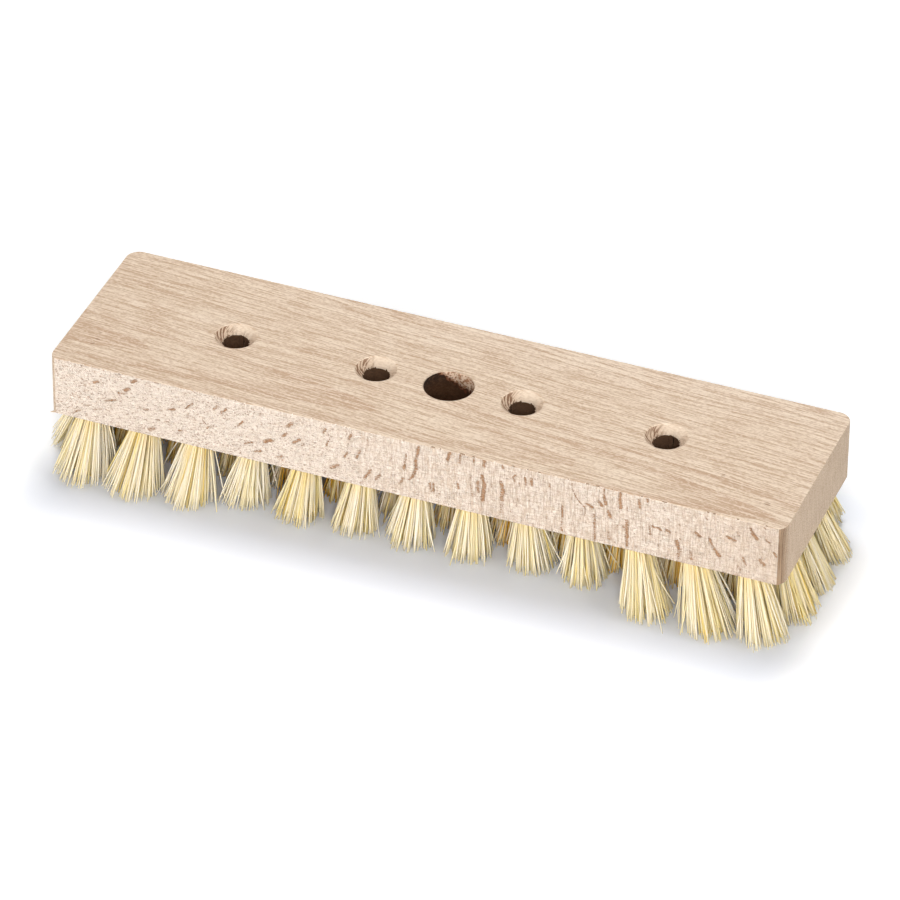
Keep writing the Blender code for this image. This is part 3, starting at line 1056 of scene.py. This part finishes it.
def roughen(board):
    """Move the vertices of the sides, the arrises and the handle hole."""
    places = places_of(board)
    marks = np.zeros(len(places))
    for side in (-1, 1):
        fray_arris(places, side)
        roughen_side(places, side, marks)
    tear_wall(places)
    board.data.vertices.foreach_set("co", places.ravel())
    keep(board, "fleck", marks)
    board.data.update()


roughen(board)
print("Rough board:", [round(value, 4) for value in board.dimensions])

# %% [markdown]
# The spokes of a countersink run from its axis outwards. So each vertex keeps its direction
# from the nearest hole, and the material draws its noise in that direction. It keeps the
# hole's number too, a few units from the next one's, so that no two holes look alike.

# %% Keep the spokes for the countersinks
HOLE_NUMBER_STEP = 3.0


def keep_spokes(board):
    """Store the direction from the nearest hole's axis in every vertex."""
    places = places_of(board)
    across = places[:, :1] - np.array(HOLE_PLACES)
    nearest = np.abs(across).argmin(axis=1)
    x = across[np.arange(len(places)), nearest]
    reach = np.maximum(np.hypot(x, places[:, 1]), CLOSE)
    keep(board, "spoke_x", x / reach)
    keep(board, "spoke_y", places[:, 1] / reach)
    keep(board, "hole_number", nearest * HOLE_NUMBER_STEP)


keep_spokes(board)
print("Vertices with a spoke:", len(board.data.vertices))

# %% [markdown]
# Each face now gets its finish from its place and from the way it faces. Materials are put
# on the board in a fixed order, and a face names its material by number. Smooth shading
# makes one huge level face look bent where it meets a narrow bevel, so level faces stay flat.

# %% Give each face its finish
SMOOTH_ANGLE = math.radians(32)
LEVEL_NORMAL = 0.9999
NEARLY_LEVEL = 0.8
CONE_TILT = 0.3


def finish_of(face):
    """The name of a face's finish, from its place and the way it faces."""
    middle, normal = face.center, face.normal
    level = abs(normal.z) > NEARLY_LEVEL
    away = radius_from_hole(middle)
    if away < CONE_RADIUS + RIM_SOFTENING and middle.z > TOP - RIM_SOFTENING:
        return "planed"
    if away < CONE_RADIUS and normal.z > CONE_TILT:
        return "countersunk"
    inner = abs(middle.x) < HALF_LENGTH - CORNER_RADIUS
    inner = inner and abs(middle.y) < HALF_WIDTH - CORNER_RADIUS
    if inner and UNDERSIDE + CLOSE < middle.z < TOP - RIM_SOFTENING:
        return "bored"
    side = 1 if middle.y > 0 else -1
    if on_long_side(middle) and abs(middle.x) < SIDE_ENDS[side] and not level:
        return "sawn"
    return "planed" if level else "end"


BOARD_FINISHES = ["planed", "sawn", "end", "bored", "countersunk"]
makers = (planed_beech, sawn_beech, end_beech, bored_beech, countersunk_beech)
for make in makers:
    board.data.materials.append(make())
for face in board.data.polygons:
    face.material_index = BOARD_FINISHES.index(finish_of(face))
only(board)
bpy.ops.object.shade_smooth_by_angle(angle=SMOOTH_ANGLE)
for face in board.data.polygons:
    if abs(face.normal.z) > LEVEL_NORMAL:
        face.use_smooth = False
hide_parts("beech_block")
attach(board, "root")
counts = np.bincount([face.material_index for face in board.data.polygons])
print("Faces of each finish:", dict(zip(BOARD_FINISHES, counts.tolist())))

# %% [markdown]
# The saw left a burr at the lower left corner of the front: a short splinter that points
# outwards. It is a thin cone of five sides with its wide end inside the board.

# %% Add the burr
BURR_LENGTH = 4.4 * MM
BURR_RADIUS = 0.9 * MM
BURR_AIM = Vector((-0.86, -0.1, -0.34))
BURR_ROOT_INSET = Vector((0.9, 1.0, 0.9)) * MM


def add_burr():
    """A splinter at the lower left corner of the front."""
    root = Vector((-SIDE_ENDS[-1], -HALF_WIDTH, UNDERSIDE)) + BURR_ROOT_INSET
    only(None)
    bpy.ops.mesh.primitive_cone_add(
        vertices=5,
        radius1=BURR_RADIUS,
        radius2=0,
        depth=BURR_LENGTH,
        location=root + BURR_AIM.normalized() * BURR_LENGTH / 2,
        rotation=BURR_AIM.to_track_quat("Z", "Y").to_euler(),
    )
    burr = settle("burr")
    burr.data.materials.append(board.data.materials[BOARD_FINISHES.index("end")])
    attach(burr, "root")
    return burr


burr = add_burr()
print("Burr:", [round(value / MM, 1) for value in burr.dimensions], "mm")

# %% [markdown]
# ## The fibres
# A tuft is a bundle of stiff plant fibres. The real ones are folded over a wire and pulled
# into the hole. One fibre is modelled here: a thin four-sided bar with a few rings, a
# little thinner at the tip. Every fibre of every tuft is a bent copy of it.

# %% Model one fibre
FIBRE_RINGS = 4
TIP_SHARE = 0.7


def reaches_tip(first, second):
    return min(first.z, second.z) > 0.99


def model_fibre():
    """A bar one unit long, from 0 at the root to 1 at the tip, with a radius of one."""
    only(None)
    bpy.ops.mesh.primitive_cylinder_add(vertices=4, radius=1, depth=1, location=(0, 0, 0.5))
    fibre = settle("one_fibre")
    edit_edges(fibre, is_upright)
    bpy.ops.mesh.subdivide(number_cuts=FIBRE_RINGS)
    close_edit()
    edit_edges(fibre, reaches_tip)
    bpy.ops.transform.resize(value=(TIP_SHARE, TIP_SHARE, 1))
    close_edit()
    return fibre


fibre = model_fibre()
fibre_places = places_of(fibre)
fibre_faces = [tuple(face.vertices) for face in fibre.data.polygons]
bpy.data.objects.remove(fibre)
print("One fibre has", len(fibre_faces), "faces")

# %% [markdown]
# A fibre follows a curve through three points: its root in the hole, a bend, and its tip.
# The copies are laid along their curves all at once and become one mesh for each tuft.
# Each vertex keeps the fibre's tone and how far along the fibre it is.

# %% Lay fibres along their curves


def lay_fibres(name, roots, bends, tips, widths, tones):
    """One piece from bent copies of the fibre. widths holds two half widths for each."""
    count = len(roots)
    along = fibre_places[:, 2]
    shares = ((1 - along) ** 2, 2 * along * (1 - along), along**2)
    curves = zip(shares, (roots, bends, tips))
    places = sum(share[None, :, None] * points[:, None, :] for share, points in curves)
    turn = luck.uniform(0, math.pi, count)
    wide = np.stack([np.cos(turn), np.sin(turn), np.zeros(count)], axis=1)
    thin = np.stack([-np.sin(turn), np.cos(turn), np.zeros(count)], axis=1)
    places += fibre_places[None, :, :1] * widths[:, None, :1] * wide[:, None, :]
    places += fibre_places[None, :, 1:2] * widths[:, None, 1:] * thin[:, None, :]
    step = len(fibre_places)
    faces = [tuple(i + step * n for i in face) for n in range(count) for face in fibre_faces]
    mesh = bpy.data.meshes.new(name)
    mesh.from_pydata(places.reshape(-1, 3).tolist(), [], faces)
    piece = bpy.data.objects.new(name, mesh)
    bpy.context.collection.objects.link(piece)
    keep(piece, "tone", np.repeat(tones, step))
    keep(piece, "along", np.tile(along, count))
    mesh.polygons.foreach_set("use_smooth", np.ones(len(faces), dtype=bool))
    return piece


# %% [markdown]
# Plant fibre is never one colour. Most fibres are cream, some are straw or nearly white,
# and a few are golden brown. Near the root, in the shade under the board, they are painted a
# little darker. Fibre also lets light through, which is why a tuft glows between its fibres: a
# share of translucent shader does it. The tufts further in stand in shade and look golden, so
# they get a shaded copy of the finish, with deeper colours as painted shade.

# %% The fibre's finish
THROUGH_SHARE = 0.32
OUTER_GLOW, OUTER_DEEP = colour(255, 237, 146), colour(251, 219, 108)
# A shaded copy of the fibre: deeper, more golden colours as painted shade for the tufts further
# in.
SHADED_INNER_GLOW, SHADED_INNER_DEEP = colour(255, 218, 84), colour(252, 202, 72)


def plant_fibre(name, glow, deep):
    """Pale, dull fibre. Glow is the colour of the light it lets past, deep its darkest tone."""
    straw = Finish(name)
    tone = straw.attribute("tone")
    along = straw.attribute("along")
    streaks = straw.spots(straw.millimetres(), (0.35, 0.35, 6), 2)
    shade = straw.blend(tone.smooth(0.0, 0.3), deep, colour(247, 234, 175))
    shade = straw.blend(tone.smooth(0.25, 0.6), shade, colour(251, 244, 219))
    shade = straw.blend(tone.smooth(0.6, 0.95), shade, colour(255, 252, 244))
    shade = straw.blend(streaks.smooth(0.45, 0.7) * 0.2, shade, colour(240, 222, 168))
    # Painted shade: darker towards the root, under the board.
    shade = straw.blend((1 - along.smooth(0.1, 0.55)) * 0.45, shade, deep)
    return straw.close(shade, 0.5, streaks, 0.00005, THROUGH_SHARE, glow)


outer_finish = plant_fibre("outer_fibre", OUTER_GLOW, OUTER_DEEP)
shaded_inner_finish = plant_fibre("shaded_inner_fibre", SHADED_INNER_GLOW, SHADED_INNER_DEEP)

# %% [markdown]
# ## The tufts
# The CAD solid of each tuft says where its hole is, and where and how wide its ring of tips
# stands. The tufts that stand further in are in shade and get the golden, shaded finish, so
# each tuft is sorted by where it stands.

# %% Read a tuft's hole and its tips
FLOOR_REACH = 0.6 * MM
SIDE_ROW = 12 * MM
END_ROW = 13 * MM


def ring_of_tips(name):
    """The middle and the radius of a CAD tuft's tips, which stand on the floor."""
    places = places_of(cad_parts[name])
    tips = places[places[:, 2] < FLOOR_REACH, :2]
    middle = tips.mean(axis=0)
    return middle, np.hypot(*(tips - middle).T).max()


def place_of(name):
    """Whether a tuft stands at a long side, at an end or further in."""
    spot = tuft_root(name)
    if abs(spot[1]) > HALF_WIDTH - SIDE_ROW:
        return "side"
    return "end" if abs(spot[0]) > HALF_LENGTH - END_ROW else "inner"


kinds = [place_of(name) for name in tuft_nodes]
print("Tufts of each kind:", {kind: kinds.count(kind) for kind in sorted(set(kinds))})

# %% [markdown]
# Fibres are spread over the tuft like the seeds over a sunflower: each is a golden angle on
# from the last, which fills a disc evenly. Damp plant fibre dries in clumps, so each place is
# then pulled towards the nearest of a few clumps.

# %% Spread the fibres over a disc
CLUMPS_PER_TUFT = 22
CLUMP_PULL = 0.34
DISC_SHAKE = 0.04
GOLDEN_ANGLE = math.pi * (3 - math.sqrt(5))


def disc(count):
    """Places spread evenly over a disc of radius one, slightly shaken."""
    number = np.arange(count) + 0.5
    reach = np.sqrt(number / count)
    turn = number * GOLDEN_ANGLE + luck.uniform(0, math.tau)
    spread = np.stack([reach * np.cos(turn), reach * np.sin(turn)], axis=1)
    return spread + luck.normal(0, DISC_SHAKE, (count, 2))


def clumped(spread):
    """Pull each place towards the nearest of a few clumps. Gives each place's clump too."""
    clumps = disc(CLUMPS_PER_TUFT)
    away = np.linalg.norm(spread[:, None] - clumps[None], axis=2)
    nearest = away.argmin(axis=1)
    return spread + (clumps[nearest] - spread) * CLUMP_PULL, nearest


# %% [markdown]
# Each place on the disc gives a fibre its root in the hole and its tip near the floor, and
# the fibres fan out in between. A few stray across the rest. Their ends are cut at slightly
# different heights, and none goes below the floor.

# %% Lead each fibre from its root to its tip
ROOT_HEIGHT = UNDERSIDE + 4 * MM
PLUG_RADIUS = 4.1 * MM
TIP_SPREAD, TIP_SCATTER = 1.05, 0.6 * MM
STRAY_SCATTER = 3.5 * MM
BEND_SHARES, BEND_SCATTER = (0.4, 0.55), 0.5 * MM
BEND_INWARD, STRAY_BEND = 0.03, 3
LOWEST_TIP, SPLAYED_RISE, UNEVEN_CUT = 0.05 * MM, 0.6 * MM, 0.7 * MM
SHORT_SHARE, SHORT_BY = 0.08, (1.5 * MM, 6 * MM)
PAST_CAD = 2 * MM
REACH_LIMIT = np.array(cad_box[1][:2]) + PAST_CAD


def tip_heights(reach):
    """Splayed fibres end higher, and none is cut quite like the next."""
    count = len(reach)
    uneven = luck.exponential(UNEVEN_CUT, count)
    short = (luck.random(count) < SHORT_SHARE) * luck.uniform(*SHORT_BY, count)
    return LOWEST_TIP + reach**2 * SPLAYED_RISE + uneven + short


def fibre_curves(name, order, reach, stray):
    """The roots, bends and tips of a tuft's fibres."""
    count = len(order)
    middle, radius = ring_of_tips(name)
    roots, tips = np.empty((count, 3)), np.empty((count, 3))
    roots[:, :2] = tuft_root(name)[:2] + order / np.maximum(reach, 1)[:, None] * PLUG_RADIUS
    roots[:, 2] = ROOT_HEIGHT
    tips[:, :2] = middle + order * radius * TIP_SPREAD + luck.normal(0, TIP_SCATTER, (count, 2))
    tips[stray, :2] += luck.normal(0, STRAY_SCATTER, (stray.sum(), 2))
    tips[:, :2] = np.clip(tips[:, :2], -REACH_LIMIT, REACH_LIMIT)
    tips[:, 2] = tip_heights(reach)
    bends = roots + (tips - roots) * luck.uniform(*BEND_SHARES, (count, 1))
    bends[:, :2] -= (tips - roots)[:, :2] * BEND_INWARD
    bends[:, :2] += luck.normal(0, BEND_SCATTER, (count, 2)) * (1 + stray[:, None] * STRAY_BEND)
    return roots, bends, tips


# %% [markdown]
# A fibre's tone lies between 0, the deepest colour, and 1, nearly white. Each kind of tuft
# has its middle tone, and the low tone of the inner tufts is painted shade. Towards the right
# end the outer tufts get a little deeper and the inner ones paler. Tufts, clumps and single
# fibres differ, and the core of a tuft gets deeper tones as painted shade, so its outside is
# the palest.

# %% Give each fibre its tone
# The low tone of the inner tufts is painted shade.
TONES = {"side": 0.52, "end": 0.5, "inner": 0.1}
TONE_SLOPES = {"side": -0.12, "end": -0.12, "inner": 0.12}
TUFT_UNLIKE, CLUMP_UNLIKE, FIBRE_UNLIKE = 0.04, 0.12, 0.16
STRAY_TONE = 0.3
MIDDLE_REACH, CORE_SHADE_TONE = 0.67, 0.85


def fibre_tones(name, clump, reach, stray):
    """A tone for each fibre of a tuft, from its kind, its clump and how far out it is."""
    kind, middle = place_of(name), ring_of_tips(name)[0]
    slope = middle[0] / HALF_LENGTH * TONE_SLOPES[kind]
    middle_tone = TONES[kind] + slope + luck.normal(0, TUFT_UNLIKE)
    clump_tones = luck.normal(0, CLUMP_UNLIKE, CLUMPS_PER_TUFT)[clump]
    tones = luck.normal(middle_tone, FIBRE_UNLIKE, len(clump)) + clump_tones + stray * STRAY_TONE
    # Painted shade: fibres nearer the core of a tuft get a deeper tone.
    return np.clip(tones + (reach - MIDDLE_REACH) * CORE_SHADE_TONE, 0, 1)


# %% [markdown]
# Now each CAD tuft is replaced by its fibres. The fibres are a little flat, and their
# thickness differs.

# %% Grow the tufts
FIBRES_PER_TUFT = 230
STRAY_SHARE = 0.07
THINNEST, THICKEST = 0.26 * MM, 0.42 * MM
FLATNESS = np.array([1.0, 0.75])


def grow_tuft(name):
    """Replace one CAD tuft by a bundle of single fibres."""
    count = FIBRES_PER_TUFT
    order, clump = clumped(disc(count))
    reach = np.hypot(*order.T)
    stray = luck.random(count) < STRAY_SHARE
    roots, bends, tips = fibre_curves(name, order, reach, stray)
    widths = luck.uniform(THINNEST, THICKEST, (count, 1)) * FLATNESS
    tones = fibre_tones(name, clump, reach, stray)
    piece = lay_fibres(name.replace("tuft", "fibres"), roots, bends, tips, widths, tones)
    piece.data.materials.append(shaded_inner_finish if place_of(name) == "inner" else outer_finish)
    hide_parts(name)
    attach(piece, "root")
    return piece


tufts = [grow_tuft(name) for name in tuft_nodes]
tuft_faces = len(tufts[0].data.polygons)
print(len(tufts), "tufts of", FIBRES_PER_TUFT, "fibres, each", tuft_faces, "faces")

# %% [markdown]
# ## The floor and the white background
# The object stands on a white floor that fades into a white world. To the camera the floor
# is pure white in full light and keeps the shadow of the brush. Under the brush its colour is
# darker and a little bluer: a painted shadow, which keeps the shade there deep and grey, though
# the fibres throw warm light there.
# From 0.3 m away it starts to glow, and from 0.65 m it is as white as the world behind it,
# because the lamps light it less there. Gloss and glass see the same white. For the light
# that bounces about it is an ordinary pale floor, so it doesn't throw too much back.

# %% Lay the floor and colour the world
FLOOR_SIZE = 12.0
# The places on the floor are in millimetres, as its material reads them.
GLOW_STARTS, GLOW_FULL = 300, 650
UNDER_ENDS, UNDER_FRONT, UNDER_REAR = (140, 180), (-105, -52), (45, 80)
WORLD_FILL = 0.12
FLOOR_WHITE = (1.2, 1.2, 1.2, 1.0)
# Painted shadow: the darker, bluer colour of the floor under the brush.
FLOOR_PAINTED_SHADOW = (0.83, 0.86, 0.93, 1.0)


def floor_finish():
    """White where the floor itself is seen, pale to the light that bounces off it."""
    paint = Finish("white_floor")
    place = paint.millimetres()
    x, y, _ = paint.split(place)
    # A painted shadow: within these limits the floor's colour is darker under the brush.
    under = (1 - x.size().smooth(*UNDER_ENDS)) * y.smooth(*UNDER_FRONT)
    under = under * (1 - y.smooth(*UNDER_REAR))
    shade = paint.blend(under, FLOOR_WHITE, FLOOR_PAINTED_SHADOW)
    near = paint.node("BsdfDiffuse", None, {"Color": shade})
    glow = paint.node("Emission", None, {"Strength": 1.0})
    reach = paint.node("VectorMath", {"operation": "LENGTH"}, {0: place}, "Value")
    far = reach.smooth(GLOW_STARTS, GLOW_FULL)
    bright = paint.node("MixShader", None, {0: far, 1: near, 2: glow})
    pale = paint.node("BsdfDiffuse", None, {"Color": colour(245, 245, 245)})
    return paint.end(paint.node("MixShader", None, {0: paint.seen(), 1: pale, 2: bright}))


def lay_floor():
    """A wide plane at height zero."""
    only(None)
    bpy.ops.mesh.primitive_plane_add(size=FLOOR_SIZE, location=(0, 0, 0))
    floor = settle("studio_floor")
    floor.data.materials.append(floor_finish())
    return floor


def colour_world():
    """A dim white world for light, and full white where the camera sees it."""
    sky = Finish("studio_world", "World")
    fill = sky.node("Background", None, {"Color": (1, 1, 1, 1), "Strength": WORLD_FILL})
    white = sky.node("Background", None, {"Color": (1, 1, 1, 1), "Strength": 1.0})
    mixed = sky.node("MixShader", None, {0: sky.seen(), 1: fill, 2: white})
    bpy.context.scene.world = sky.end(mixed)


floor = lay_floor()
colour_world()
print("Floor:", round(floor.dimensions.x, 1), "m wide, world:", bpy.context.scene.world.name)
